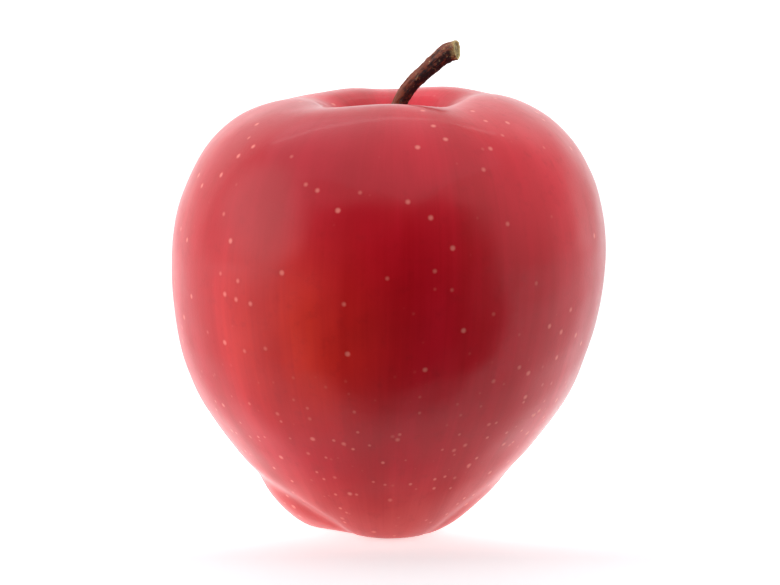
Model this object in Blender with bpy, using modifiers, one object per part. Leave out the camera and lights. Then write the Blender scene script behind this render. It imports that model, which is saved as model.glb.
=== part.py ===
"""A ripe red apple: the fruit, its stem, five dried sepals and the withered stamens.

Metres, +Z up. The apple stands on the small flats of its foot knobs, with the ground at z = 0
and the middle of its bounding box over the origin. Azimuths are in degrees, 0 towards -Y and 90
towards +X. The stem leans towards +X.
"""
import collections
import math

import bmesh
import bpy
import numpy as np
from mathutils import Matrix, Vector

MM = 0.001

# ---- Driving sizes -----------------------------------------------------------------------------
BELLY_RADIUS = 39.0 * MM        # fruit, at its widest
BELLY_HEIGHT = 47.7 * MM        # the widest place above the foot ring
RIM_RADIUS = 15.0 * MM          # ring of the shoulders round the stem cavity
RIM_HEIGHT = 76.5 * MM          # the rim above the foot ring
CAVITY_DEPTH = 12.4 * MM        # stem cavity, rim to floor
FOOT_RADIUS = 11.5 * MM         # ring of the foot knobs
BASIN_DEPTH = 6.6 * MM          # calyx basin, foot ring to floor
LEAN = 1.1 * MM                 # how far the rim stands towards +X of the foot ring
FLAT_DEPTH = 0.5 * MM           # how much the weight has flattened the lowest foot knob

STEM_LENGTH = 25.4 * MM         # out of the cavity floor, along the stem
STEM_RADIUS = 1.35 * MM         # half way up
STEM_ROOT_RADIUS = 1.6 * MM     # in its socket
STEM_TIP_RADIUS = 1.75 * MM     # the flared end where it left the twig
STEM_ROOT_LEAN = 2.0            # degrees from upright, up to where the stem bends
STEM_TIP_LEAN = 48.0            # degrees from upright, after the bend
BEND_START = 4.2 * MM           # along the stem from the cavity floor
BEND_LENGTH = 14.6 * MM
SOCKET_DEPTH = 3.0 * MM         # the stem's root below the cavity floor

SEPAL_RING_RADIUS = 3.5 * MM    # where the sepals grow from the basin floor
SEPAL_LENGTH = 4.6 * MM
SEPAL_SPACING = 1.4 * MM        # free space between neighbouring sepals, at their feet
SEPAL_THICKNESS = 0.4 * MM
CUP_DEPTH = 2.6 * MM            # the calyx cup above the basin floor
STAMEN_LENGTH = 4.4 * MM
STAMEN_COUNT = 10
SEAT_GAP = 0.3 * MM             # clearance between neighbouring pieces

# A lobe runs from a foot knob up the flank to a shoulder. Its azimuth and the spreads are in degrees:
# drop and spread of its foot knob, depth and spread of the crease that arches over the knob, rise
# of its shoulder, swell of its flank, and lift of the groove between its knob and the next one.
Lobe = collections.namedtuple("Lobe", "azimuth drop spread crease crease_spread rise swell groove")
LOBES = (
    Lobe(-3.0, 1.15 * MM, 32.0, 0.1 * MM, 40.0, 0.2 * MM, -1.3 * MM, -1.0 * MM),
    Lobe(78.0, -0.8 * MM, 16.0, 0.3 * MM, 50.0, 0.5 * MM, -1.7 * MM, 2.0 * MM),
    Lobe(148.0, 1.8 * MM, 26.0, 0.6 * MM, 50.0, -0.1 * MM, 0.0, 2.0 * MM),
    Lobe(217.0, 1.6 * MM, 26.0, 0.6 * MM, 50.0, -0.3 * MM, 0.0, 1.5 * MM),
    Lobe(265.0, 1.45 * MM, 36.0, 0.8 * MM, 72.0, -0.5 * MM, 0.5 * MM, -0.5 * MM),
)
GROOVE_DEPTH = 0.9 * MM         # in the flank above the foot ring, and in the rim

FRUIT_SEGMENTS = 60
FRUIT_RINGS = 44

parts = None
cutters = None


# ---- The fruit's skin --------------------------------------------------------------------------
def between(low, high, shares):
    """Points part of the way from low to high, each by its own share of radius and of height."""
    return [(low[0] + (high[0] - low[0]) * a, low[1] + (high[1] - low[1]) * b) for a, b in shares]


def meridian_stations():
    """Radius and height from the basin floor, under the foot, up the flank and into the cavity."""
    basin_floor = (0.0, BASIN_DEPTH)
    foot = (FOOT_RADIUS, 0.0)
    belly = (BELLY_RADIUS, BELLY_HEIGHT)
    rim = (RIM_RADIUS, RIM_HEIGHT)
    cavity_floor = (0.0, RIM_HEIGHT - CAVITY_DEPTH)
    stations = [basin_floor]
    stations += between(basin_floor, foot, [(0.30, 0.09), (0.67, 0.58)])
    stations += [foot]
    stations += between(foot, belly, [(0.30, 0.09), (0.65, 0.34), (0.86, 0.55)])
    stations += [belly]
    stations += between(belly, rim, [(0.20, 0.62), (0.55, 0.91)])
    stations += [rim]
    stations += between(rim, cavity_floor, [(0.38, 0.31), (0.64, 0.69), (0.83, 0.94)])
    stations += [cavity_floor]
    return np.array(stations)


STATIONS = meridian_stations()
FOOT_STATION, BELLY_STATION, RIM_STATION = 3, 7, 10
CREASE_REACH = 0.10             # how far up the meridian, as a share of it, the highest creases arch


def spline_slopes(knots, values):
    """Second derivatives of the natural cubic spline through the values at the knots."""
    gaps = np.diff(knots)
    count = len(knots)
    system = np.eye(count)
    right = np.zeros_like(values)
    for i in range(1, count - 1):
        system[i, i - 1:i + 2] = gaps[i - 1], 2.0 * (gaps[i - 1] + gaps[i]), gaps[i]
        rise = np.diff(values[i - 1:i + 2], axis=0)
        right[i] = 6.0 * (rise[1] / gaps[i] - rise[0] / gaps[i - 1])
    return np.linalg.solve(system, right)


KNOTS = np.concatenate([[0.0], np.cumsum(np.sqrt(np.hypot(*np.diff(STATIONS, axis=0).T)))])
KNOTS /= KNOTS[-1]
SLOPES = spline_slopes(KNOTS, STATIONS)


def meridian(along):
    """Radius and height of the plain turned outline, at 0 in the basin up to 1 in the cavity."""
    i = np.clip(np.searchsorted(KNOTS, along, side="right") - 1, 0, len(KNOTS) - 2)
    gap = KNOTS[i + 1] - KNOTS[i]
    b = (along - KNOTS[i]) / gap
    a = 1.0 - b
    curve = a * STATIONS[i].T + b * STATIONS[i + 1].T
    curve += ((a ** 3 - a) * SLOPES[i].T + (b ** 3 - b) * SLOPES[i + 1].T) * gap ** 2 / 6.0
    return np.maximum(curve[0], 0.0), curve[1]


def bell(value, middle, width):
    """A smooth bump, 1 at the middle, that fades within about twice the width."""
    return np.exp(-((value - middle) / width) ** 2)


def turned_to(azimuth, middle):
    """Angle from the middle azimuth, both in radians, between -pi and pi."""
    return (azimuth - middle + math.pi) % (2.0 * math.pi) - math.pi


def skin(along, azimuth):
    """Points of the skin: the turned outline with its lobes, knobs, creases, grooves and lean."""
    radius, height = meridian(along)
    foot, belly, rim = KNOTS[FOOT_STATION], KNOTS[BELLY_STATION], KNOTS[RIM_STATION]
    for lobe, after in zip(LOBES, LOBES[1:] + LOBES[:1]):
        off = turned_to(azimuth, math.radians(lobe.azimuth))
        shoulder = np.exp(7.0 * (np.cos(off) - 1.0)) * bell(along, rim, 0.09)
        flank = np.exp(3.0 * (np.cos(off) - 1.0)) * bell(along, (foot + belly) / 2.0, 0.16)
        knob = bell(off, 0.0, math.radians(lobe.spread)) * bell(along, foot, 0.10)
        height = height - lobe.drop * knob + lobe.rise * shoulder
        radius = radius + 0.6 * lobe.drop * knob + lobe.swell * flank

        across = np.clip(off / math.radians(lobe.crease_spread), -1.0, 1.0) ** 2
        arch = foot + 0.015 + CREASE_REACH * (1.0 - across)
        dent = lobe.crease * (1.0 - across ** 2) * bell(along, arch, 0.022)
        radius = radius - 0.8 * dent
        height = height + 0.6 * dent

        gap = (after.azimuth - lobe.azimuth) % 360.0
        off = turned_to(azimuth, math.radians(lobe.azimuth + gap / 2.0))
        groove = np.exp(14.0 * (np.cos(off) - 1.0))
        height = height + groove * lobe.groove * bell(along, foot - 0.01, 0.07)
        height = height - groove * GROOVE_DEPTH * bell(along, rim, 0.07)
        radius = radius - groove * GROOVE_DEPTH * bell(along, foot + 0.05, 0.09)
    x = radius * np.sin(azimuth) + LEAN * height / RIM_HEIGHT
    return np.stack([x, -radius * np.cos(azimuth), height], axis=-1)


def skin_centre():
    """Where the origin goes: the middle of the skin's box, as high as the ground cuts the knobs."""
    along, azimuth = np.meshgrid(np.linspace(0.0, 1.0, 400), np.linspace(0.0, 2.0 * math.pi, 721))
    points = skin(along.ravel(), azimuth.ravel())
    low, high = points.min(axis=0), points.max(axis=0)
    return np.array([(low[0] + high[0]) / 2.0, (low[1] + high[1]) / 2.0, low[2] + FLAT_DEPTH])


CENTRE = skin_centre()


def floor_point(along):
    """The skin's own pole, in the calyx basin (along 0) or in the stem cavity (along 1)."""
    return Vector(skin(np.array([along]), np.array([0.0]))[0] - CENTRE)


def basin_height(radius):
    """Height of the basin's skin at a radius round its middle."""
    along = np.linspace(0.0, KNOTS[FOOT_STATION], 200)
    radii, heights = meridian(along)
    return float(np.interp(radius, radii, heights)) - CENTRE[2]


# ---- Helpers -----------------------------------------------------------------------------------
def clear_scene():
    for thing in list(bpy.data.objects):
        bpy.data.objects.remove(thing, do_unlink=True)


def new_collection(name):
    collection = bpy.data.collections.new(name)
    bpy.context.scene.collection.children.link(collection)
    return collection


def material(name, colour, roughness):
    finish = bpy.data.materials.new(name)
    finish.use_nodes = True
    shader = finish.node_tree.nodes["Principled BSDF"]
    shader.inputs["Base Color"].default_value = (*colour, 1.0)
    shader.inputs["Roughness"].default_value = roughness
    shader.inputs["Metallic"].default_value = 0.0
    return finish


def add_part(name, mesh, finish, parent):
    mesh.materials.append(finish)
    mesh.shade_smooth()
    mesh.set_sharp_from_angle(angle=math.radians(50.0))
    part = bpy.data.objects.new(name, mesh)
    part.parent = parent
    parts.objects.link(part)
    return part


def mesh_from(name, bm):
    mesh = bpy.data.meshes.new(name)
    bm.to_mesh(mesh)
    bm.free()
    return mesh


def cut(part, name, bm):
    """Takes the closed shape in bm away from the part."""
    cutter = bpy.data.objects.new(name, mesh_from(name, bm))
    cutter.hide_render = True
    cutter.display_type = "WIRE"
    cutters.objects.link(cutter)
    modifier = part.modifiers.new(name, "BOOLEAN")
    modifier.operation = "DIFFERENCE"
    modifier.solver = "EXACT"
    modifier.object = cutter


def rod_shape(radius, length, place):
    """A cylinder whose lower end is at the origin of place and which runs up its Z axis."""
    bm = bmesh.new()
    bmesh.ops.create_cone(bm, cap_ends=True, segments=24, radius1=radius, radius2=radius, depth=length,
                          matrix=place @ Matrix.Translation((0.0, 0.0, length / 2.0)))
    return bm


# ---- Fruit -------------------------------------------------------------------------------------
def stem_place():
    """Frame on the cavity floor with its Z axis along the stem's root."""
    return Matrix.Translation(floor_point(1.0)) @ Matrix.Rotation(math.radians(STEM_ROOT_LEAN), 4, "Y")


def cup_radius():
    """The calyx cup stops a seat gap inside the ring of sepals."""
    return SEPAL_RING_RADIUS - SEPAL_THICKNESS / 2.0 - 2.0 * SEAT_GAP


def make_fruit(parent):
    """A sphere whose rings are drawn along the meridian, then cut for the ground, stem and calyx."""
    bm = bmesh.new()
    bmesh.ops.create_uvsphere(bm, u_segments=FRUIT_SEGMENTS, v_segments=FRUIT_RINGS, radius=1.0)
    ball = np.array([vertex.co for vertex in bm.verts])
    along = 1.0 - np.arccos(np.clip(ball[:, 2], -1.0, 1.0)) / math.pi
    azimuth = np.arctan2(ball[:, 0], -ball[:, 1])
    for vertex, place in zip(bm.verts, skin(along, azimuth) - CENTRE):
        vertex.co = place
    skin_finish = material("apple_skin", (0.33, 0.012, 0.02), 0.3)
    fruit = add_part("fruit", mesh_from("fruit", bm), skin_finish, parent)

    ground = bmesh.new()
    span = 4.0 * FOOT_RADIUS
    bmesh.ops.create_cube(ground, size=span, matrix=Matrix.Translation((0.0, 0.0, -span / 2.0)))
    cut(fruit, "ground_cut", ground)

    socket_floor = stem_place() @ Matrix.Translation((0.0, 0.0, -SOCKET_DEPTH - SEAT_GAP))
    cut(fruit, "stem_socket_cut", rod_shape(STEM_ROOT_RADIUS + SEAT_GAP, 2.0 * SOCKET_DEPTH, socket_floor))

    basin = floor_point(0.0)
    below_basin = Matrix.Translation((basin.x, basin.y, basin.z - CUP_DEPTH))
    cut(fruit, "calyx_cup_cut", rod_shape(cup_radius(), 2.0 * CUP_DEPTH, below_basin))
    return fruit


# ---- Stem --------------------------------------------------------------------------------------
def stem_route(count):
    """Points along the stem and its radius at each, from the root in its socket to the tip."""
    step = np.linspace(-SOCKET_DEPTH, STEM_LENGTH, 400)
    bend = np.clip((step - BEND_START) / BEND_LENGTH, 0.0, 1.0)
    bend = bend * bend * (3.0 - 2.0 * bend)
    lean = np.radians(STEM_ROOT_LEAN + (STEM_TIP_LEAN - STEM_ROOT_LEAN) * bend)
    stride = step[1] - step[0]
    sideways = np.cumsum(np.sin(lean)) * stride
    upwards = np.cumsum(np.cos(lean)) * stride
    floor = floor_point(1.0)
    sideways += floor.x - np.interp(0.0, step, sideways)
    upwards += floor.z - np.interp(0.0, step, upwards)
    root = bell(step, -SOCKET_DEPTH, 0.3 * STEM_LENGTH)
    tip = bell(step, STEM_LENGTH, 0.22 * STEM_LENGTH)
    radius = STEM_RADIUS + (STEM_ROOT_RADIUS - STEM_RADIUS) * root + (STEM_TIP_RADIUS - STEM_RADIUS) * tip
    chosen = np.linspace(0, len(step) - 1, count).astype(int)
    return [(sideways[i], floor.y, upwards[i], radius[i]) for i in chosen]


def make_stem(parent):
    """A rod that swells at its root and at its tip, made as a curve and turned into a mesh."""
    route = stem_route(13)
    line = bpy.data.curves.new("stem_line", "CURVE")
    line.dimensions = "3D"
    line.bevel_depth = 1.0
    line.bevel_resolution = 3
    line.use_fill_caps = True
    spline = line.splines.new("POLY")
    spline.points.add(len(route) - 1)
    for point, (x, y, z, radius) in zip(spline.points, route):
        point.co = (x, y, z, 1.0)
        point.radius = radius
    rod = bpy.data.objects.new("stem_line", line)
    parts.objects.link(rod)
    evaluated = rod.evaluated_get(bpy.context.evaluated_depsgraph_get())
    mesh = bpy.data.meshes.new_from_object(evaluated)
    bpy.data.objects.remove(rod)
    mesh.name = "stem"
    bm = bmesh.new()
    bm.from_mesh(mesh)
    bmesh.ops.remove_doubles(bm, verts=bm.verts, dist=0.01 * MM)
    bmesh.ops.recalc_face_normals(bm, faces=bm.faces)
    bm.to_mesh(mesh)
    bm.free()
    return add_part("stem", mesh, material("stem_bark", (0.09, 0.035, 0.022), 0.7), parent)


# ---- Calyx -------------------------------------------------------------------------------------
def make_sepal(name, azimuth, finish, parent):
    """A pointed leaf that stands out of the basin floor, leans in and curls back at its tip."""
    bm = bmesh.new()
    bmesh.ops.create_grid(bm, x_segments=4, y_segments=7, size=1.0)
    centre = floor_point(0.0)
    width = 2.0 * math.pi * SEPAL_RING_RADIUS / len(LOBES) - SEPAL_SPACING
    corner = math.hypot(SEPAL_RING_RADIUS + SEPAL_THICKNESS, width / 2.0)
    foot = basin_height(corner) - SEAT_GAP
    for vertex in bm.verts:
        across, along = vertex.co.x, (vertex.co.y + 1.0) / 2.0
        half_width = width / 2.0 * (1.0 - 0.85 * along ** 1.4)
        ring = SEPAL_RING_RADIUS * (1.0 - 0.42 * math.sin(2.2 * along))
        angle = azimuth + across * half_width / ring
        vertex.co = (centre.x + ring * math.sin(angle), centre.y - ring * math.cos(angle),
                     foot - SEPAL_LENGTH * along)
    sepal = add_part(name, mesh_from(name, bm), finish, parent)
    wall = sepal.modifiers.new("thickness", "SOLIDIFY")
    wall.thickness = SEPAL_THICKNESS
    wall.offset = 0.0
    return sepal


def make_stamens(parent):
    """A small disc in the calyx cup with a ring of filaments drawn down out of its underside."""
    hub_radius = 0.5 * cup_radius()
    hub_height = 0.25 * CUP_DEPTH
    centre = floor_point(0.0)
    hub_middle = centre.z + CUP_DEPTH - SEAT_GAP - hub_height / 2.0
    bm = bmesh.new()
    bmesh.ops.create_cone(bm, cap_ends=True, cap_tris=True, segments=STAMEN_COUNT, radius1=hub_radius,
                          radius2=hub_radius, depth=hub_height)
    bm.normal_update()
    ends = [face for face in bm.faces if face.normal.z < -0.9]
    bmesh.ops.inset_individual(bm, faces=ends, thickness=0.09 * hub_radius)
    stages = 4
    for _stage in range(stages):
        ends = bmesh.ops.extrude_discrete_faces(bm, faces=ends)["faces"]
        for face in ends:
            middle = face.calc_center_median()
            outwards = Vector((middle.x, middle.y, 0.0)).normalized() * 0.08 * hub_radius
            for vertex in face.verts:
                vertex.co = middle + (vertex.co - middle) * 0.93 + outwards
                vertex.co.z -= STAMEN_LENGTH / stages
    bmesh.ops.translate(bm, verts=bm.verts, vec=(centre.x, centre.y, hub_middle))
    finish = material("withered_stamen", (0.05, 0.03, 0.018), 0.85)
    return add_part("stamens", mesh_from("stamens", bm), finish, parent)


# ---- Assembly ----------------------------------------------------------------------------------
clear_scene()
parts = new_collection("apple")
cutters = new_collection("cutters")
apple = bpy.data.objects.new("apple", None)
parts.objects.link(apple)

make_fruit(apple)
make_stem(apple)
dried_leaf = material("dried_sepal", (0.2, 0.12, 0.06), 0.8)
for number in range(len(LOBES)):
    make_sepal(f"sepal_{number + 1}", math.radians(40.0 + number * 360.0 / len(LOBES)), dried_leaf, apple)
make_stamens(apple)
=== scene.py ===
"""A ripe red apple on a pale table in soft daylight-white studio light.

Metres, +Z up, the ground at z = 0. Azimuths go from 0 towards -Y to 90 degrees towards +X.
"""
import math

import bpy
import numpy as np
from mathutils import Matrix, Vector


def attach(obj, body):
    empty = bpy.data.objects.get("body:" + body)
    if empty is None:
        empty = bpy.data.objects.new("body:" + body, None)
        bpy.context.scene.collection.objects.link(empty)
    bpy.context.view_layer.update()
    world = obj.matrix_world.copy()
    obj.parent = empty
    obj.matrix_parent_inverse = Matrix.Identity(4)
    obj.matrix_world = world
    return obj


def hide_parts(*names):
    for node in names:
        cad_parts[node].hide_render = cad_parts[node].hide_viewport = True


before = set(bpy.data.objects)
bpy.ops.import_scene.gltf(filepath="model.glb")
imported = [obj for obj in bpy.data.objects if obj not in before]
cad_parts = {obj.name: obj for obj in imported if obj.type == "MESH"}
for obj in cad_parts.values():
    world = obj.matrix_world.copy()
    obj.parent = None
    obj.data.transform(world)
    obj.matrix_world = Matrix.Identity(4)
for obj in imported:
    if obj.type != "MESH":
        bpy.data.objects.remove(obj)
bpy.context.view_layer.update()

MM = 0.001

# ---- The fruit ---------------------------------------------------------------------------------
# The fruit is flesh and skin grown as one piece: a tapering body with five lobes that end in knobs
# round the calyx basin, and a deep funnel round the stem. The skin is thin, waxy and deep red, with
# faint streaks from stem to base and pale pores. It stands where the weight presses its knobs flat.

BELLY_RADIUS = 39.0 * MM
BELLY_HEIGHT = 47.7 * MM
RIM_RADIUS = 15.0 * MM
RIM_HEIGHT = 76.5 * MM
CAVITY_DEPTH = 12.4 * MM
FOOT_RADIUS = 11.5 * MM
BASIN_DEPTH = 6.6 * MM
LEAN = 1.1 * MM
FLAT_DEPTH = 0.5 * MM

SOCKET_RADIUS = 1.75 * MM       # the flesh closes round the stem here
SOCKET_DEPTH = 2.5 * MM
CUP_RADIUS = 2.6 * MM           # the calyx cup above the basin floor
CUP_DEPTH = 2.4 * MM
LIP = 0.35 * MM                 # rounding of the mouths of the socket and of the cup
STEM_ROOT_LEAN = 2.0            # degrees from upright
STEM_ROOT = np.array([math.sin(math.radians(STEM_ROOT_LEAN)), 0.0, math.cos(math.radians(STEM_ROOT_LEAN))])

# Each lobe's azimuth and spreads are in degrees, and its drop, crease, rise, swell and groove in mm.
LOBES = (
    dict(azimuth=-3.0, spread=32.0, drop=1.15, crease_spread=40.0, crease=0.1,
         rise=0.2, swell=-1.3, groove=-1.0),
    dict(azimuth=78.0, spread=16.0, drop=-0.8, crease_spread=50.0, crease=0.3,
         rise=0.5, swell=-1.7, groove=2.0),
    dict(azimuth=148.0, spread=26.0, drop=1.8, crease_spread=50.0, crease=0.6,
         rise=-0.1, swell=0.0, groove=2.0),
    dict(azimuth=217.0, spread=26.0, drop=1.6, crease_spread=50.0, crease=0.6,
         rise=-0.3, swell=0.0, groove=1.5),
    dict(azimuth=265.0, spread=36.0, drop=1.45, crease_spread=72.0, crease=0.8,
         rise=-0.5, swell=0.5, groove=-0.5),
)
GROOVE_DEPTH = 0.9 * MM
CREASE_REACH = 0.10             # how far above the foot a crease arches, along the meridian
SKIN_COLUMNS = 340
SKIN_ROWS = 262
GROUND_SOFTNESS = 0.03 * MM     # how gently the skin meets the ground


def between(low, high, shares):
    """Points part of the way from low to high, each by its own share of radius and of height."""
    return [(low[0] + (high[0] - low[0]) * a, low[1] + (high[1] - low[1]) * b) for a, b in shares]


def meridian_stations():
    """Radius and height from the basin floor, under the foot, up the flank and into the cavity."""
    basin_floor = (0.0, BASIN_DEPTH)
    foot = (FOOT_RADIUS, 0.0)
    belly = (BELLY_RADIUS, BELLY_HEIGHT)
    rim = (RIM_RADIUS, RIM_HEIGHT)
    cavity_floor = (0.0, RIM_HEIGHT - CAVITY_DEPTH)
    stations = [basin_floor]
    stations += between(basin_floor, foot, [(0.30, 0.09), (0.67, 0.58)])
    stations += [foot]
    stations += between(foot, belly, [(0.30, 0.09), (0.65, 0.34), (0.86, 0.55)])
    stations += [belly]
    stations += between(belly, rim, [(0.20, 0.62), (0.55, 0.91)])
    stations += [rim]
    stations += between(rim, cavity_floor, [(0.38, 0.31), (0.64, 0.69), (0.83, 0.94)])
    stations += [cavity_floor]
    return np.array(stations)


def spline_bends(knots, values):
    """Second derivatives of the natural cubic spline through the values at the knots."""
    gaps = np.diff(knots)
    system = np.eye(len(knots))
    right = np.zeros_like(values)
    for i in range(1, len(knots) - 1):
        system[i, i - 1:i + 2] = gaps[i - 1], 2.0 * (gaps[i - 1] + gaps[i]), gaps[i]
        rise = np.diff(values[i - 1:i + 2], axis=0)
        right[i] = 6.0 * (rise[1] / gaps[i] - rise[0] / gaps[i - 1])
    return np.linalg.solve(system, right)


stations = meridian_stations()
knots = np.concatenate([[0.0], np.cumsum(np.sqrt(np.hypot(*np.diff(stations, axis=0).T)))])
knots /= knots[-1]
bends = spline_bends(knots, stations)
FOOT, BELLY, RIM = knots[3], knots[7], knots[10]


def meridian(along):
    """Radius and height of the turned outline: the natural cubic spline through the stations."""
    i = np.clip(np.searchsorted(knots, along, side="right") - 1, 0, len(knots) - 2)
    gap = knots[i + 1] - knots[i]
    b = (along - knots[i]) / gap
    a = 1.0 - b
    a, b, gap = a[..., None], b[..., None], gap[..., None]
    curve = a * stations[i] + b * stations[i + 1]
    curve += ((a ** 3 - a) * bends[i] + (b ** 3 - b) * bends[i + 1]) * gap ** 2 / 6.0
    return np.maximum(curve[..., 0], 0.0), curve[..., 1]


def bell(value, middle, width):
    """exp(-((value - middle) / width)^2), a bump that is 1 at the middle."""
    return np.exp(-((value - middle) / width) ** 2)


def ramp(value, low, high):
    """0 below low, 1 above high, and 3s^2 - 2s^3 between them."""
    share = np.clip((value - low) / (high - low), 0.0, 1.0)
    return share * share * (3.0 - 2.0 * share)


def turned_to(azimuth, middle):
    """Angle from the middle azimuth, both in radians, between -pi and pi."""
    return (azimuth - middle + math.pi) % (2.0 * math.pi) - math.pi


def skin(along, azimuth):
    """The turned outline plus, for each lobe, its knob, flank, shoulder, crease and next groove.

    Each of these is a bump along the meridian times a bump in azimuth. The whole leans towards +X.
    """
    radius, height = meridian(along)
    for lobe, after in zip(LOBES, LOBES[1:] + LOBES[:1]):
        off = turned_to(azimuth, math.radians(lobe["azimuth"]))
        shoulder = np.exp(7.0 * (np.cos(off) - 1.0)) * bell(along, RIM, 0.09)
        flank = np.exp(3.0 * (np.cos(off) - 1.0)) * bell(along, (FOOT + BELLY) / 2.0, 0.16)
        knob = bell(off, 0.0, math.radians(lobe["spread"])) * bell(along, FOOT, 0.10)
        height = height + MM * (lobe["rise"] * shoulder - lobe["drop"] * knob)
        radius = radius + MM * (0.6 * lobe["drop"] * knob + lobe["swell"] * flank)

        across = np.clip(off / math.radians(lobe["crease_spread"]), -1.0, 1.0) ** 2
        arch = FOOT + 0.015 + CREASE_REACH * (1.0 - across)
        dent = lobe["crease"] * MM * (1.0 - across ** 2) * bell(along, arch, 0.022)
        radius = radius - 0.8 * dent
        height = height + 0.6 * dent

        gap = (after["azimuth"] - lobe["azimuth"]) % 360.0
        off = turned_to(azimuth, math.radians(lobe["azimuth"] + gap / 2.0))
        groove = np.exp(14.0 * (np.cos(off) - 1.0))
        height = height + groove * lobe["groove"] * MM * bell(along, FOOT - 0.01, 0.07)
        height = height - groove * GROOVE_DEPTH * bell(along, RIM, 0.07)
        radius = radius - groove * GROOVE_DEPTH * bell(along, FOOT + 0.05, 0.09)
    x = radius * np.sin(azimuth) + LEAN * height / RIM_HEIGHT
    return np.stack([x, -radius * np.cos(azimuth), height], axis=-1)


def skin_centre():
    """The point that becomes the origin: the middle of the box, as high as the knobs are pressed."""
    along, azimuth = np.meshgrid(np.linspace(0.0, 1.0, 400), np.linspace(0.0, 2.0 * math.pi, 721))
    points = skin(along.ravel(), azimuth.ravel())
    low, high = points.min(axis=0), points.max(axis=0)
    return np.array([(low[0] + high[0]) / 2.0, (low[1] + high[1]) / 2.0, low[2] + FLAT_DEPTH])


centre = skin_centre()


def pole(along):
    """Where the skin crosses the fruit's core, in the basin (along 0) or in the cavity (along 1)."""
    return skin(np.array([along]), np.array([0.0]))[0] - centre


def along_at_radius(radius, low, high):
    """The place along the meridian, between low and high, where the outline has this radius."""
    places = np.linspace(low, high, 2000)
    radii = meridian(places)[0]
    order = np.argsort(radii)
    return float(np.interp(radius, radii[order], places[order]))


def waves(points, length, count, seed):
    """Smooth lumps: the mean of cosine waves of about this length in random directions."""
    draw = np.random.default_rng(seed)
    directions = draw.normal(size=(count, 3))
    directions /= np.linalg.norm(directions, axis=1)[:, None]
    rates = 2.0 * math.pi / (length * draw.uniform(0.7, 1.4, count))
    phases = draw.uniform(0.0, 2.0 * math.pi, count)
    total = np.zeros(points.shape[:-1])
    for direction, rate, phase in zip(directions, rates, phases):
        total += np.cos(points @ direction * rate + phase)
    return total / math.sqrt(count)


def closed_grid(rings, start, end, **layers):
    """One closed surface: quads from ring to ring, and a fan to the point at either end.

    rings has the shape (rows, columns, 3), each row a closed ring. A layer holds a value, or three,
    for every point of the rings, and the end points take the mean of the ring next to them.
    """
    rows, columns = rings.shape[:2]
    number = np.arange(rows * columns).reshape(rows, columns)
    after = np.roll(number, -1, axis=1)
    quads = np.stack([number[:-1], after[:-1], after[1:], number[1:]], axis=-1).reshape(-1, 4)
    first = np.full(columns, rows * columns)
    fans = [np.stack([after[0], number[0], first], axis=-1),
            np.stack([number[-1], after[-1], first + 1], axis=-1)]
    points = np.concatenate([rings.reshape(-1, 3), [start, end]])
    values = {}
    for name, layer in layers.items():
        layer = np.asarray(layer, float).reshape(rows, columns, -1)
        values[name] = np.concatenate([layer.reshape(rows * columns, -1),
                                       layer[[0, -1]].mean(axis=1)])
    return points, quads, np.concatenate(fans), values


def mesh_from(name, *surfaces):
    """A mesh of closed surfaces, with their layers as attributes of its points."""
    points, loops, sizes, shift = [], [], [], 0
    for surface, quads, fans, _values in surfaces:
        points.append(surface)
        loops += [quads.ravel() + shift, fans.ravel() + shift]
        sizes += [np.full(len(quads), 4), np.full(len(fans), 3)]
        shift += len(surface)
    points, loops, sizes = np.concatenate(points), np.concatenate(loops), np.concatenate(sizes)
    mesh = bpy.data.meshes.new(name)
    mesh.vertices.add(len(points))
    mesh.vertices.foreach_set("co", points.astype(np.float32).ravel())
    mesh.loops.add(len(loops))
    mesh.loops.foreach_set("vertex_index", loops.astype(np.int32))
    mesh.polygons.add(len(sizes))
    mesh.polygons.foreach_set("loop_start", np.concatenate([[0], np.cumsum(sizes)[:-1]]).astype(np.int32))
    mesh.update(calc_edges=True)
    mesh.validate()
    for layer in surfaces[0][3]:
        values = np.concatenate([surface[3][layer] for surface in surfaces])
        kind, field = ("FLOAT", "value") if values.shape[1] == 1 else ("FLOAT_VECTOR", "vector")
        mesh.attributes.new(layer, kind, "POINT").data.foreach_set(field, values.astype(np.float32).ravel())
    mesh.shade_smooth()
    return mesh


def add_piece(name, mesh, material, cad_node):
    """Puts the finished piece in the scene in place of its CAD node."""
    mesh.materials.append(material)
    piece = bpy.data.objects.new(name, mesh)
    bpy.context.scene.collection.objects.link(piece)
    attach(piece, "root")
    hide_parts(cad_node)


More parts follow.
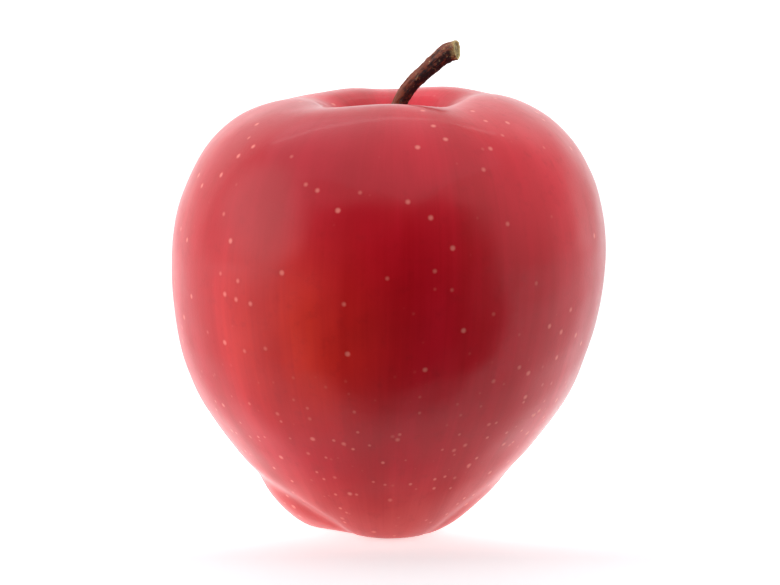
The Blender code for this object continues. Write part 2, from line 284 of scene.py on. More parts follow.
class Socket:
    """An output of a shader node. Arithmetic on it adds the Math or Vector Math nodes that do it."""

    def __init__(self, tree, socket):
        self.tree = tree
        self.socket = socket

    def node(self, kind, settings=None, values=None, output=0):
        """Adds a node of this type: its settings first, then values or links for its inputs."""
        node = self.tree.nodes.new(kind)
        for name, value in (settings or {}).items():
            setattr(node, name, value)
        for name, value in (values or {}).items():
            if isinstance(value, Socket):
                self.tree.links.new(value.socket, node.inputs[name])
            else:
                node.inputs[name].default_value = value
        return Socket(self.tree, node.outputs[output])

    def math(self, operation, *values):
        """A Math node, or a Vector Math node if one of the values is a vector or a colour."""
        vector = any(isinstance(v, tuple) or (isinstance(v, Socket) and v.socket.type in ("VECTOR", "RGBA"))
                     for v in values)
        if vector:
            values = [v if isinstance(v, (tuple, Socket)) else (v, v, v) for v in values]
        kind = "ShaderNodeVectorMath" if vector else "ShaderNodeMath"
        return self.node(kind, {"operation": operation}, dict(enumerate(values)))

    def __add__(self, other):
        return self.math("ADD", self, other)

    def __radd__(self, other):
        return self.math("ADD", other, self)

    def __sub__(self, other):
        return self.math("SUBTRACT", self, other)

    def __rsub__(self, other):
        return self.math("SUBTRACT", other, self)

    def __mul__(self, other):
        return self.math("MULTIPLY", self, other)

    def __rmul__(self, other):
        return self.math("MULTIPLY", other, self)

    def __truediv__(self, other):
        return self.math("DIVIDE", self, other)

    def __rtruediv__(self, other):
        return self.math("DIVIDE", other, self)

    def length(self):
        """Length of a vector."""
        return self.node("ShaderNodeVectorMath", {"operation": "LENGTH"}, {0: self}, "Value")

    def part(self, axis):
        """One component of a vector: "X", "Y" or "Z"."""
        return self.node("ShaderNodeSeparateXYZ", None, {0: self}, axis)

    def ramp(self, low, high):
        """0 at low, 1 at high and smooth between them. low may be the larger one."""
        if low > high:
            return 1.0 - self.ramp(high, low)
        return self.node("ShaderNodeMapRange", {"interpolation_type": "SMOOTHSTEP"},
                         {"Value": self, "From Min": low, "From Max": high})

    def noise(self, scale, detail=2.0, rough=0.5, distortion=0.0):
        """Noise between 0 and 1 at this place, with this many lumps to the unit."""
        return self.node("ShaderNodeTexNoise", None,
                         {"Vector": self, "Scale": scale, "Detail": detail, "Roughness": rough,
                          "Distortion": distortion})

    def cells(self, scale):
        """Distance to the nearest of randomly scattered points, with this many to the unit."""
        return self.node("ShaderNodeTexVoronoi", None, {"Vector": self, "Scale": scale}, "Distance")

    def plain(self, colour):
        """One colour, from which tinting starts."""
        start = self.node("ShaderNodeRGB")
        start.socket.default_value = colour
        return start

    def tint(self, share, colour):
        """This colour with a share of another one mixed in."""
        return self.node("ShaderNodeMix", {"data_type": "RGBA"}, {0: share, 6: self, 7: colour}, 2)

    def near(self, middle, size):
        """1 at this place in mm, 0 beyond this distance from it."""
        return (self - tuple(c * MM for c in middle)).length().ramp(size * MM, 0.0)

    def layer(self, name, output="Vector"):
        """The mesh's attribute of this name."""
        return self.node("ShaderNodeAttribute", {"attribute_name": name}, None, output)

    def bump(self, distance, strength):
        """The normal of a surface that is raised by this height times a distance."""
        return self.node("ShaderNodeBump", None,
                         {"Strength": strength, "Distance": distance, "Height": self})


def new_material(name):
    """A material with a Principled shader, and the sockets that its patterns start from."""
    material = bpy.data.materials.new(name)
    material.use_nodes = True
    tree = material.node_tree
    shader = tree.nodes["Principled BSDF"]
    start = Socket(tree, None)
    place = start.node("ShaderNodeTexCoord", None, None, "Object")
    return material, shader, start, place


def connect(shader, **inputs):
    """Fills the shader's inputs; an underscore in a name stands for a space."""
    for name, value in inputs.items():
        socket = shader.inputs[name.replace("_", " ")]
        if isinstance(value, Socket):
            value.tree.links.new(value.socket, socket)
        else:
            socket.default_value = value


def outward(points):
    """Outward unit normals of rings of points, where the rings run up and their points run round."""
    down = np.gradient(points, axis=0)
    across = (np.roll(points, -1, axis=1) - np.roll(points, 1, axis=1)) / 2.0
    normals = np.cross(across, down)
    return normals / np.maximum(np.linalg.norm(normals, axis=-1, keepdims=True), 1e-12)


def pocket(ring, axis, radius, depth, lip, floor, rows):
    """Rings of a round pocket that starts at a ring of points and runs along the axis, and its end.

    A quarter turn of the lip's size leads into the wall, and one of the floor's size closes it.
    """
    turn = np.linspace(0.0, math.pi / 2.0, rows)[1:]
    wall = np.linspace(0.0, 1.0, rows)[1:]
    inner = 1.0 - lip / radius
    share = np.concatenate([1.0 - lip / radius * np.sin(turn), np.full(rows - 1, inner),
                            inner * np.cos(turn)])
    sunk = np.concatenate([lip * (1.0 - np.cos(turn)), lip + (depth - lip - floor) * wall,
                           depth - floor + floor * np.sin(turn)])
    middle = ring.mean(axis=0)
    rings = middle + (ring - middle)[None] * share[:-1, None, None] + (sunk[:-1, None] * axis)[:, None, :]
    return rings, middle + depth * axis


def make_fruit_mesh():
    """Rings of skin at even steps along the meridian, from the calyx cup to the stem's socket.

    Slow lumps push the skin in and out along its normal, and it ends smoothly at the ground.
    """
    low = along_at_radius(CUP_RADIUS, 0.0, FOOT)
    high = along_at_radius(SOCKET_RADIUS, RIM, 1.0)
    fine = np.linspace(low, high, 4000)
    steps = np.hypot(*np.diff(np.stack(meridian(fine)), axis=1))
    travelled = np.concatenate([[0.0], np.cumsum(steps)])
    along = np.interp(np.linspace(0.0, travelled[-1], SKIN_ROWS), travelled, fine)
    azimuth = np.arange(SKIN_COLUMNS) * 2.0 * math.pi / SKIN_COLUMNS
    points = skin(*np.broadcast_arrays(along[:, None], azimuth[None])) - centre

    fade = ramp(along, low, low + 0.04) * (1.0 - ramp(along, high - 0.03, high))
    lumps = 0.16 * MM * waves(points, 26.0 * MM, 14, 3) + 0.05 * MM * waves(points, 9.0 * MM, 24, 5)
    points = points + outward(points) * (fade[:, None] * lumps)[..., None]
    points[..., 2] = (points[..., 2] + np.hypot(points[..., 2], GROUND_SOFTNESS)) / 2.0

    up = np.array([0.0, 0.0, 1.0])
    cup, cup_floor = pocket(points[0], up, CUP_RADIUS, CUP_DEPTH, LIP, 0.8 * MM, 6)
    socket, socket_floor = pocket(points[-1], -STEM_ROOT, SOCKET_RADIUS, SOCKET_DEPTH, LIP, 0.3 * MM, 6)
    rings = np.concatenate([cup[::-1], points, socket])
    share = np.concatenate([np.full(len(cup), along[0]), along, np.full(len(socket), along[-1])])
    around = np.stack(np.broadcast_arrays(np.sin(azimuth)[None], -np.cos(azimuth)[None],
                                          share[:, None]), axis=-1)
    return mesh_from("fruit_skin", closed_grid(rings, cup_floor, socket_floor, around=around))


DEEP_RED = (0.44, 0.003, 0.009, 1.0)
BRIGHT_RED = (0.59, 0.008, 0.022, 1.0)
LIT_ORANGE_RED = (0.70, 0.036, 0.012, 1.0)
DARK_RED = (0.30, 0.003, 0.012, 1.0)
PINK_REFLECTION_RED = (0.78, 0.030, 0.050, 1.0)
MOTTLE_RED = (0.30, 0.002, 0.007, 1.0)
PALE_SHEEN_RED = (0.57, 0.078, 0.060, 1.0)
GREEN_YELLOW = (0.42, 0.27, 0.06, 1.0)
RUSSET = (0.23, 0.12, 0.045, 1.0)
PORE_PINK = (0.85, 0.25, 0.20, 1.0)
CUP_BROWN = (0.05, 0.025, 0.012, 1.0)


def skin_material():
    """Waxy red skin: streaks along the meridians, yellow zones, pale pores, faint bumps, and painted light:
    orange-red where the lamps fall, a pink reflection and a pale sheen near the base.
    """
    material, shader, start, place = new_material("apple_skin")
    around = start.layer("around")
    share = around.part("Z")
    height = place.part("Z")

    broad = (around * (3.0, 3.0, 4.0)).noise(1.0, 3.0, 0.55)
    streak = (around * (15.0, 15.0, 2.2)).noise(1.0, 4.0, 0.6, 0.6)
    fine = (around * (55.0, 55.0, 5.0)).noise(1.0, 3.0, 0.6, 0.4)
    mottle = place.noise(420.0, 4.0, 0.6)
    light = (0.68 * broad + 0.21 * streak + 0.11 * fine).ramp(0.34, 0.68)

    colour = start.plain(DEEP_RED).tint(light, BRIGHT_RED)
    # painted light: the front-left and back-right flanks, where the left and back lamps fall, are painted a
    # lighter orange-red
    painted_lit_flanks = place.near((-17.0, -34.0, 40.0), 26.0) + 0.8 * place.near((30.0, 20.0, 44.0), 26.0)
    colour = colour.tint(painted_lit_flanks * (0.30 + 0.55 * light), LIT_ORANGE_RED)
    colour = colour.tint(0.6 * place.near((-13.0, -24.0, 70.0), 32.0), DARK_RED)
    # painted reflection: the front-right shoulder is painted pinker where the top light's reflection lies
    colour = colour.tint(0.5 * place.near((26.0, -20.0, 66.0), 22.0), PINK_REFLECTION_RED)
    yellow = place.near((-38.0, -2.0, 50.0), 7.0) * streak.ramp(0.45, 0.62)
    # painted reflection: a paler, greyer red towards the bottom stands in for the bright table reflected in
    # the skin
    base = height.ramp(17.0 * MM, 4.0 * MM)
    colour = colour.tint(base * (0.15 + 0.35 * light), PALE_SHEEN_RED)
    basin = share.ramp(FOOT + 0.02, 0.03)
    cavity = share.ramp(RIM + 0.06, 0.97)
    green = yellow * 0.55 + basin * (0.35 + 0.6 * streak) + cavity * (0.08 + 0.3 * streak.ramp(0.4, 0.7))
    colour = colour.tint(green, GREEN_YELLOW)
    russet = share.ramp(0.955, 1.0) * (place.noise(900.0, 5.0, 0.7)).ramp(0.35, 0.6)
    colour = colour.tint(russet * 0.8, RUSSET)
    colour = colour.tint(mottle.ramp(0.52, 0.75) * 0.20, MOTTLE_RED)

    wide = place.cells(1.0 / (4.0 * MM))
    close = (place + (0.013, 0.021, 0.034)).cells(1.0 / (2.7 * MM))
    sparse_pores = wide.ramp(0.165, 0.04)
    dense_pores = close.ramp(0.17, 0.04) * height.ramp(40.0 * MM, 18.0 * MM)
    pores = sparse_pores.math("MAXIMUM", sparse_pores, dense_pores) * (1.0 - cavity) * (1.0 - basin)
    colour = colour.tint(pores * 0.6, PORE_PINK)

    cup = place.part("Z").ramp(5.9 * MM, 6.8 * MM) * share.ramp(0.05, 0.03)
    colour = colour.tint(cup, CUP_BROWN)

    peel = place.noise(2600.0, 2.0, 0.5)
    normal = (peel - 2.0 * pores).bump(0.06 * MM, 0.25)
    rough = 0.30 + 0.10 * mottle + 0.15 * russet + 0.1 * pores
    connect(shader, Base_Color=colour, Roughness=rough, Normal=normal, IOR=1.30,
            Coat_Weight=0.32 - 0.28 * cup, Coat_Roughness=0.10, Coat_IOR=1.45)
    return material


add_piece("fruit_skin", make_fruit_mesh(), skin_material(), "fruit")


# ---- The stem ----------------------------------------------------------------------------------
# The stem is the woody stalk that held the fruit on its twig, dark bark round pale wood. It grows
# out of the flesh at the bottom of the cavity, leans over towards +X and flares at the cut end.

STEM_LENGTH = 25.4 * MM
STEM_RADIUS = 1.35 * MM
STEM_ROOT_RADIUS = 1.55 * MM
STEM_TIP_RADIUS = 1.72 * MM
STEM_SUNK = 2.2 * MM            # how far it reaches into its socket
STEM_TIP_LEAN = 48.0            # degrees from upright
STEM_TIP_HOOK = 24.0            # degrees more at the very tip
BEND_START = 4.2 * MM
BEND_LENGTH = 14.6 * MM
CUT_REACH = 5.0 * MM            # how far from the tip the bark is drawn to the cut
CUT_FACE = np.array([0.939, -0.300, 0.168])
CUT_SHARES = np.array([0.04, 0.10, 0.17, 0.26, 0.40, 0.56, 0.72, 0.88])
CUT_DEPTHS = np.array([-0.06, -0.04, 0.10, 0.24, 0.30, 0.26, 0.20, 0.12]) * MM


def make_stem_mesh():
    """A tube along a bending line, with ridges in its bark, and its end cut to a plane.

    The line's lean goes from the root's to the tip's as a ramp of the travel, and hooks over at the
    tip. The radius is R (1 + ridges), where the ridges are long waves that run along the stem. The
    cut has a proud rim of wood round a hollow of pith.
    """
    columns = 96
    travel = np.linspace(-STEM_SUNK, STEM_LENGTH, 190)
    lean = STEM_ROOT_LEAN
    lean += (STEM_TIP_LEAN - STEM_ROOT_LEAN) * ramp(travel, BEND_START, BEND_START + BEND_LENGTH)
    lean = np.radians(lean + STEM_TIP_HOOK * ramp(travel, STEM_LENGTH - 4.0 * MM, STEM_LENGTH))
    step = travel[1] - travel[0]
    ahead = np.stack([np.sin(lean), np.zeros_like(lean), np.cos(lean)], axis=-1)
    line = np.cumsum(ahead, axis=0) * step
    root = np.array([np.interp(0.0, travel, line[:, i]) for i in range(3)])
    line = line - root + pole(1.0)
    side = np.stack([np.cos(lean), np.zeros_like(lean), -np.sin(lean)], axis=-1)

    radius = STEM_RADIUS + (STEM_ROOT_RADIUS - STEM_RADIUS) * bell(travel, -STEM_SUNK, 7.0 * MM)
    radius = radius + (STEM_TIP_RADIUS - STEM_RADIUS) * bell(travel, STEM_LENGTH, 5.0 * MM)
    angle = np.arange(columns) * 2.0 * math.pi / columns
    place = np.stack(np.broadcast_arrays(np.cos(angle)[None] * 1.4 * MM, np.sin(angle)[None] * 1.4 * MM,
                                         travel[:, None] * 0.22), axis=-1)
    ridges = 0.030 * waves(place, 1.1 * MM, 16, 21) + 0.020 * waves(place, 0.5 * MM, 24, 22)
    place[..., 2] = travel[:, None]
    ridges = ridges + 0.016 * waves(place, 2.2 * MM, 16, 23) + 0.02 * waves(place, 0.8 * MM, 24, 24)
    ridges *= ramp(travel, 0.5 * MM, 2.5 * MM)[:, None]
    wide = radius[:, None] * (1.0 + ridges)
    spoke = wide[..., None] * (np.cos(angle)[None, :, None] * side[:, None]
                               + np.sin(angle)[None, :, None] * np.array([0.0, 1.0, 0.0]))
    rings = line[:, None] + spoke

    reach = -(spoke[-1] @ CUT_FACE) / (ahead[-1] @ CUT_FACE)
    pull = ramp(travel, STEM_LENGTH - CUT_REACH, STEM_LENGTH)
    rings = rings + (pull[:, None] * reach[None])[..., None] * ahead[:, None]

    middle = line[-1]
    cap = rings[-1][None] + (middle - rings[-1])[None] * CUT_SHARES[:, None, None]
    grain = 0.05 * MM * waves(cap, 0.7 * MM, 20, 25)
    cap = cap - (CUT_DEPTHS[:, None] + grain)[..., None] * CUT_FACE
    rings = np.concatenate([rings, cap])

    reach = np.concatenate([travel, np.full(len(CUT_SHARES), STEM_LENGTH)]) / MM
    bark = np.stack(np.broadcast_arrays(np.cos(angle)[None], np.sin(angle)[None], reach[:, None]), axis=-1)
    cut = np.broadcast_to(np.concatenate([np.zeros(len(travel)), CUT_SHARES])[:, None], bark.shape[:2])
    return mesh_from("stem_bark",
                     closed_grid(rings, line[0], middle - 0.1 * MM * CUT_FACE, bark=bark, cut=cut))


NEAR_BLACK = (0.014, 0.006, 0.007, 1.0)
RED_BROWN = (0.17, 0.036, 0.014, 1.0)
TAN = (0.36, 0.24, 0.11, 1.0)
WOOD_BROWN = (0.075, 0.040, 0.018, 1.0)
PITH = (0.020, 0.010, 0.007, 1.0)
PALE_WOOD = (0.55, 0.44, 0.17, 1.0)


def bark_material():
    """Bark in near-black and red-brown, with a painted highlight making its upper side redder, specked with
    tan to the tip, and a pale rim round dark pith.
    """
    material, shader, start, place = new_material("stem_bark")
    bark = start.layer("bark")
    cut = start.layer("cut", "Fac")
    grain = (bark * (3.0, 3.0, 0.5)).noise(1.0, 5.0, 0.65, 0.5)
    flakes = place.noise(1500.0, 4.0, 0.7)
    mottle = place.noise(1000.0, 3.0, 0.6)
    # painted highlight: the side facing up and left, towards the lamps, is painted more red-brown
    painted_lit_side = bark.part("X").ramp(0.4, -0.9)
    tip = bark.part("Z").ramp(12.0, 21.0)
    warm = (0.35 * mottle + 0.65 * grain + 0.16 * painted_lit_side - 0.05 * tip).ramp(0.47, 0.62)
    colour = start.plain(NEAR_BLACK).tint(warm, RED_BROWN)
    colour = colour.tint(flakes.ramp(0.59, 0.69) * (0.35 + 0.65 * tip), TAN)
    rim = cut.ramp(0.0, 0.03) * cut.ramp(0.24, 0.14)
    wood = cut.ramp(0.12, 0.26)
    edge = bark.part("Z").ramp(24.3, 25.3) * flakes.ramp(0.35, 0.6)
    colour = colour.tint(wood, WOOD_BROWN)
    colour = colour.tint(wood * grain.ramp(0.45, 0.6) * 0.7, PITH)
    colour = colour.tint(rim.math("MAXIMUM", rim, edge * 0.6), PALE_WOOD)
    normal = (flakes * 0.6 + grain).bump(0.12 * MM, 0.8)
    connect(shader, Base_Color=colour, Roughness=0.52 + 0.3 * flakes, Normal=normal, IOR=1.45)
    return material


add_piece("stem_bark", make_stem_mesh(), bark_material(), "stem")


# ---- The sepals --------------------------------------------------------------------------------
# Five small leaves of the flower stay on the fruit round its calyx cup. They have dried thin, brown
# and brittle, wrinkle along their length, and stand out of the basin's floor with curled tips.

SEPAL_RING_RADIUS = 3.5 * MM
SEPAL_LENGTH = 4.5 * MM
SEPAL_WIDTH = 2.9 * MM
SEPAL_THICKNESS = 0.26 * MM
SEPAL_COUNT = 5
FIRST_SEPAL = 40.0              # azimuth in degrees


def basin_height(radius):
    """Height of the basin's skin at a radius round its middle."""
    along = np.linspace(0.0, FOOT, 200)
    radii, heights = meridian(along)
    return float(np.interp(radius, radii, heights)) - centre[2]


def make_sepal_mesh(name, azimuth, seed):
    """A lens section across the leaf, drawn along its length t from 0 at the foot to 1 at the tip.

    The ring radius is r (1 - 0.42 sin 2.2 t) plus wrinkles, and the half width falls as 1 - 0.9 t^1.6.
    """
    columns = 56
    along = np.linspace(0.0, 1.0, 60)[:, None]
    turn = (np.arange(columns) * 2.0 * math.pi / columns)[None]
    half = SEPAL_WIDTH / 2.0 * (1.0 - 0.9 * along ** 1.6) * (0.86 + 0.14 * np.sin(math.pi * along))
    ring = SEPAL_RING_RADIUS * (1.0 - 0.42 * np.sin(2.2 * along))
    across = np.cos(turn) * half
    place = np.stack(np.broadcast_arrays(across * 1.6, along * SEPAL_LENGTH * 0.5,
                                         seed * 10.0 * MM), axis=-1)
    wrinkle = 0.10 * MM * waves(place, 1.3 * MM, 18, 31 + seed)
    wrinkle = wrinkle + 0.05 * MM * waves(place, 0.6 * MM, 24, 41 + seed)
    wrinkle = wrinkle * ramp(along, 0.0, 0.3)
    cupped = -0.22 * MM * (np.cos(turn) ** 2) * ramp(along, 0.1, 0.6)
    thick = SEPAL_THICKNESS / 2.0 * np.sin(turn) * (0.55 + 0.45 * np.abs(np.sin(turn)))
    thick = thick * (1.0 - 0.5 * along)
    radius = ring + wrinkle + cupped + thick
    angle = azimuth + across / ring
    middle = pole(0.0)
    foot = basin_height(SEPAL_RING_RADIUS + 0.3 * MM) - 0.05 * MM
    height = foot - SEPAL_LENGTH * along + 0.15 * MM * np.cos(turn * 2.0) * along
    rings = np.stack(np.broadcast_arrays(middle[0] + radius * np.sin(angle),
                                         middle[1] - radius * np.cos(angle), height), axis=-1)
    leaf = np.stack(np.broadcast_arrays(np.cos(turn), along, np.sin(turn)), axis=-1)
    return mesh_from(name, closed_grid(rings, rings[0].mean(axis=0), rings[-1].mean(axis=0), leaf=leaf))


LEAF_BROWN = (0.15, 0.085, 0.040, 1.0)
VEIN_BROWN = (0.06, 0.030, 0.015, 1.0)
FOOT_GREEN = (0.20, 0.19, 0.07, 1.0)
FELT_GREY = (0.36, 0.29, 0.19, 1.0)


def leaf_material():
    """Dry leaf: brown with darker veins along it, greener at the foot, under patches of pale felt."""
    material, shader, start, place = new_material("dried_sepal")
    leaf = start.layer("leaf")
    veins = (leaf * (5.0, 0.9, 0.0) + place * (300.0, 300.0, 60.0)).noise(1.0, 4.0, 0.6)
    felt = place.noise(2800.0, 3.0, 0.7)
    colour = start.plain(LEAF_BROWN).tint(veins.ramp(0.45, 0.62) * 0.8, VEIN_BROWN)
    colour = colour.tint(leaf.part("Y").ramp(0.35, 0.0) * 0.6, FOOT_GREEN)
    colour = colour.tint(felt.ramp(0.5, 0.7) * 0.5, FELT_GREY)
    normal = (felt + veins).bump(0.08 * MM, 0.7)
    connect(shader, Base_Color=colour, Roughness=0.75 + 0.2 * felt, Normal=normal, IOR=1.4)
    return material


dried_leaf = leaf_material()
for number in range(SEPAL_COUNT):
    azimuth = math.radians(FIRST_SEPAL + number * 360.0 / SEPAL_COUNT)
    name = f"sepal_{number + 1}"
    add_piece(f"{name}_leaf", make_sepal_mesh(name, azimuth, number), dried_leaf, name)


# ---- The stamens -------------------------------------------------------------------------------
# The flower's stamens and styles dry to a tuft of dark threads inside the calyx cup. They grow on a
# small pad at the cup's floor, spread a little and hang down with withered anthers at their ends.

STAMEN_LENGTH = 4.2 * MM
STAMEN_COUNT = 14
STAMEN_RADIUS = 0.10 * MM
ANTHER_RADIUS = 0.11 * MM       # added to the thread's own
PAD_RADIUS = 1.05 * MM
PAD_HEIGHT = 0.65 * MM


def thread(points, radii, columns=12):
    """A round tube along the points, with these radii and blunt ends."""
    ahead = np.gradient(points, axis=0)
    ahead /= np.linalg.norm(ahead, axis=1, keepdims=True)
    side = np.cross(ahead, np.array([0.3, 1.0, 0.2]))
    side /= np.linalg.norm(side, axis=1, keepdims=True)
    other = np.cross(ahead, side)
    turn = (np.arange(columns) * 2.0 * math.pi / columns)[None, :, None]
    spokes = np.cos(turn) * side[:, None] + np.sin(turn) * other[:, None]
    rings = points[:, None] + radii[:, None, None] * spokes
    tuft = np.broadcast_to(np.linspace(0.0, 1.0, len(points))[:, None], rings.shape[:2])
    start = points[0] - ahead[0] * radii[0] * 0.5
    end = points[-1] + ahead[-1] * radii[-1] * 0.5
    return closed_grid(rings, start, end, tuft=tuft)


def make_stamen_mesh():
    """A pad and the threads that leave it, each bent outwards and a little to the side."""
    draw = np.random.default_rng(7)
    top = pole(0.0) + np.array([0.0, 0.0, CUP_DEPTH - 0.15 * MM])
    down = np.linspace(0.0, 1.0, 16)
    pad = top - np.outer(np.linspace(0.0, PAD_HEIGHT / MM, 10), [0.0, 0.0, MM])
    bulge = np.sqrt(np.clip(1.02 - np.linspace(-1.0, 1.0, 10) ** 4, 0.0, 1.0))
    surfaces = [thread(pad, PAD_RADIUS * bulge, 28)]
    for i in range(STAMEN_COUNT):
        angle = 2.0 * math.pi * (i + 0.3 * draw.uniform(-1.0, 1.0)) / STAMEN_COUNT
        ring = MM * draw.uniform(0.45, 0.85)
        spread = MM * draw.uniform(0.15, 0.65)
        twist = draw.uniform(-0.5, 0.5)
        length = STAMEN_LENGTH * draw.uniform(0.7, 1.0)
        radius = ring + spread * down ** 1.5
        turn = angle + twist * down ** 2
        points = np.stack([top[0] + radius * np.sin(turn), top[1] - radius * np.cos(turn),
                           top[2] - 0.5 * MM - length * down], axis=-1)
        thick = STAMEN_RADIUS * (1.0 - 0.35 * down) + ANTHER_RADIUS * bell(down, 0.93, 0.09)
        surfaces.append(thread(points, thick))
    return mesh_from("stamens", *surfaces)


THREAD_BROWN = (0.09, 0.050, 0.025, 1.0)
FIBRE_TAN = (0.19, 0.12, 0.06, 1.0)
ANTHER_BLACK = (0.025, 0.014, 0.009, 1.0)


def stamen_material():
    """Withered threads: dark brown, lighter along their length, with near-black anthers."""
    material, shader, start, place = new_material("withered_stamen")
    tuft = start.layer("tuft", "Fac")
    fibre = place.noise(3000.0, 3.0, 0.6)
    colour = start.plain(THREAD_BROWN).tint(fibre.ramp(0.4, 0.7) * 0.7, FIBRE_TAN)
    colour = colour.tint(tuft.ramp(0.78, 0.9), ANTHER_BLACK)
    normal = fibre.bump(0.05 * MM, 0.5)
    connect(shader, Base_Color=colour, Roughness=0.8 + 0.1 * fibre, Normal=normal, IOR=1.4)
    return material


add_piece("stamen_tuft", make_stamen_mesh(), stamen_material(), "stamens")


# ---- Table, light and camera -------------------------------------------------------------------
# A pale matt table runs into a curved backdrop. Soft light comes from above, left and right, and
# black gauze in front keeps reflections off the side towards the viewer.

TABLE_WIDTH = 6.0
SWEEP_START = 1.2
SWEEP_RADIUS = 0.6
SWEEP_HEIGHT = 2.6
TABLE_DARK = (0.86, 0.86, 0.86, 1.0)
TABLE_LIGHT = (0.89, 0.89, 0.885, 1.0)
GAUZE_LIFT = 0.002
GAUZE_NEAR = -0.04
GAUZE_FAR = -0.85
GAUZE_HEIGHT = 0.95
WORLD_STRENGTH = 0.88
LIT_POINT = Vector((0.0, 0.0, 0.04))


def make_strip(name, section, left, right):
    """A sheet that runs from left to right along a section of (y, z) points."""
    points = [(x, y, z) for y, z in section for x in (left, right)]
    faces = [(2 * i, 2 * i + 2, 2 * i + 3, 2 * i + 1) for i in range(len(section) - 1)]
    mesh = bpy.data.meshes.new(name)
    mesh.from_pydata(points, [], faces)
    return mesh


def add_stage(name, mesh, material):
    """Puts a sheet that isn't part of the fruit in the scene."""
    mesh.materials.append(material)
    sheet = bpy.data.objects.new(name, mesh)
    bpy.context.scene.collection.objects.link(sheet)
    return sheet


def aim(lamp, place):
    """Puts a lamp at this place, unseen by the camera, and turns it to the middle of the fruit."""
    lamp.location = place
    lamp.rotation_euler = (Vector(place) - LIT_POINT).to_track_quat("Z", "Y").to_euler()
    lamp.visible_camera = False


def add_table():
    """A strip whose section is flat, turns up in a quarter circle and rises behind the fruit.

    It glows a little behind the fruit, and under the fruit a painted pool of light washes out the fruit's
    shadow.
    """
    turn = np.linspace(0.0, math.pi / 2.0, 24)
    section = [(-2.5, 0.0), (SWEEP_START, 0.0)]
    section += [(SWEEP_START + SWEEP_RADIUS * math.sin(a), SWEEP_RADIUS - SWEEP_RADIUS * math.cos(a))
                for a in turn[1:]]
    section += [(SWEEP_START + SWEEP_RADIUS, SWEEP_HEIGHT)]
    mesh = make_strip("table", section, -TABLE_WIDTH / 2.0, TABLE_WIDTH / 2.0)
    mesh.shade_smooth()
    material, shader, start, place = new_material("pale_table")
    cloud = place.noise(9.0, 4.0, 0.5)
    behind = place.part("Y")
    # painted light: a glowing pool round the fruit's foot hides its shadow on the table
    under = place.near((4.0, 22.0, 0.0), 120.0) * behind.ramp(-0.030, 0.0)
    glow = 1.7 * under + 0.15 * behind.ramp(-0.1, 0.0) + 0.5 * behind.ramp(0.3, 0.9)
    connect(shader, Base_Color=start.plain(TABLE_DARK).tint(cloud, TABLE_LIGHT),
            Roughness=0.75 + 0.15 * cloud, Emission_Strength=0.6, Emission_Color=glow * (1.0, 1.0, 1.0))
    add_stage("table", mesh, material)


def add_gauze():
    """Black gauze that lies on the table in front and stands behind the camera.

    It thins out to both sides and at the top, and from below it is clear, so the table stays lit.
    """
    section = [(GAUZE_NEAR, GAUZE_LIFT), (GAUZE_FAR, GAUZE_LIFT), (GAUZE_FAR, GAUZE_HEIGHT)]
    material, shader, start, place = new_material("black_gauze")
    aside = place.part("X") / (-1.0 * place.part("Y"))
    alpha = aside.ramp(-1.9, -0.4) * aside.ramp(1.8, 0.8) * place.part("Y").ramp(-0.042, -0.065)
    underside = start.node("ShaderNodeNewGeometry", None, None, "Backfacing")
    alpha = alpha * place.part("Z").ramp(0.9, 0.6) * (1.0 - underside)
    connect(shader, Base_Color=(0.01, 0.01, 0.01, 1.0), Roughness=1.0, Specular_IOR_Level=0.0,
            Alpha=alpha)
    gauze = add_stage("gauze", make_strip("gauze", section, -1.2, 1.6), material)
    gauze.visible_camera = False


def add_world():
    """Pale light from everywhere."""
    world = bpy.data.worlds.new("studio")
    world.use_nodes = True
    bpy.context.scene.world = world
    background = world.node_tree.nodes["Background"]
    background.inputs["Color"].default_value = (1.0, 1.0, 1.0, 1.0)
    background.inputs["Strength"].default_value = WORLD_STRENGTH


def add_panel(name, place, size, power, glossy=True, diffuse=True, colour=(1.0, 1.0, 1.0)):
    """A rectangular lamp. Without glossy it leaves no glare, and without diffuse nothing else."""
    light = bpy.data.lights.new(name, "AREA")
    light.shape = "RECTANGLE"
    light.size, light.size_y = size
    light.energy = power
    light.color = colour
    panel = bpy.data.objects.new(name, light)
    aim(panel, place)
    panel.visible_glossy = glossy
    panel.visible_diffuse = diffuse
    bpy.context.scene.collection.objects.link(panel)


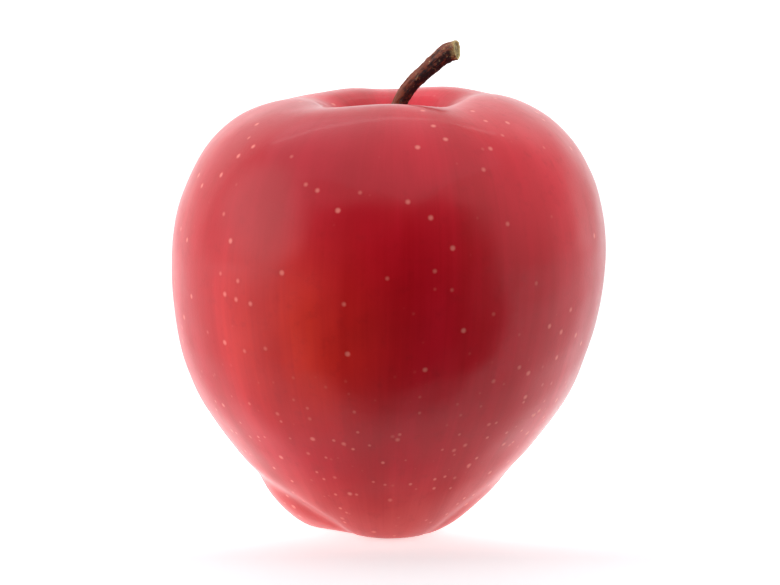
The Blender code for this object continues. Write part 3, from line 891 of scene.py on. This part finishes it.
def add_soft_panel(name, place, size, strength):
    """A glowing cloth that fades towards its edges."""
    wide, tall = size[0] / 2.0, size[1] / 2.0
    mesh = bpy.data.meshes.new(name)
    mesh.from_pydata([(-wide, -tall, 0.0), (wide, -tall, 0.0), (wide, tall, 0.0), (-wide, tall, 0.0)],
                     [], [(3, 2, 1, 0)])
    material, shader, _, spot = new_material(name)
    across = spot * (1.0 / wide, 1.0 / tall, 0.0)
    glow = across.length().ramp(1.05, 0.35)
    connect(shader, Base_Color=(0.0, 0.0, 0.0, 1.0), Roughness=1.0, Emission_Strength=strength,
            Emission_Color=(1.0, 1.0, 1.0, 1.0), Alpha=glow)
    panel = add_stage(name, mesh, material)
    aim(panel, place)
    panel.visible_shadow = False


add_table()
add_gauze()
add_world()
add_panel("top_panel", (-0.06, -0.085, 1.04), (2.0, 1.5), 4.2, colour=(0.93, 0.98, 1.18))
add_panel("back_edge", (-0.06, 0.66, 1.04), (1.3, 0.06), 0.35, diffuse=False)
add_panel("left_fill", (-0.87, -0.23, 0.28), (0.7, 0.7), 4.0, glossy=False)
add_panel("right_fill", (0.66, -0.38, 0.58), (0.6, 0.6), 1.8, glossy=False)
add_soft_panel("left_panel", (-0.85, -0.20, 0.40), (1.5, 1.2), 2.2)
add_soft_panel("right_panel", (0.85, 0.25, 0.60), (1.1, 0.9), 0.8)

CAMERA_DISTANCE = 0.560
CAMERA_ELEVATION = 10.06        # degrees
CAMERA_TARGET = Vector((0.0, 0.0, 0.039))
SENSOR_WIDTH = 36.0

camera_data = bpy.data.cameras.new("camera")
camera_data.sensor_width = SENSOR_WIDTH
camera_data.lens = SENSOR_WIDTH * 3.994872
camera_data.shift_x = 0.001487
camera_data.shift_y = 0.021154
camera_data.clip_start = 0.01
camera = bpy.data.objects.new("camera", camera_data)
elevation = math.radians(CAMERA_ELEVATION)
away = Vector((0.0, -math.cos(elevation), math.sin(elevation)))
camera.location = CAMERA_TARGET + CAMERA_DISTANCE * away
camera.rotation_euler = away.to_track_quat("Z", "Y").to_euler()
bpy.context.scene.collection.objects.link(camera)
bpy.context.scene.camera = camera
bpy.context.scene.view_settings.view_transform = "Standard"
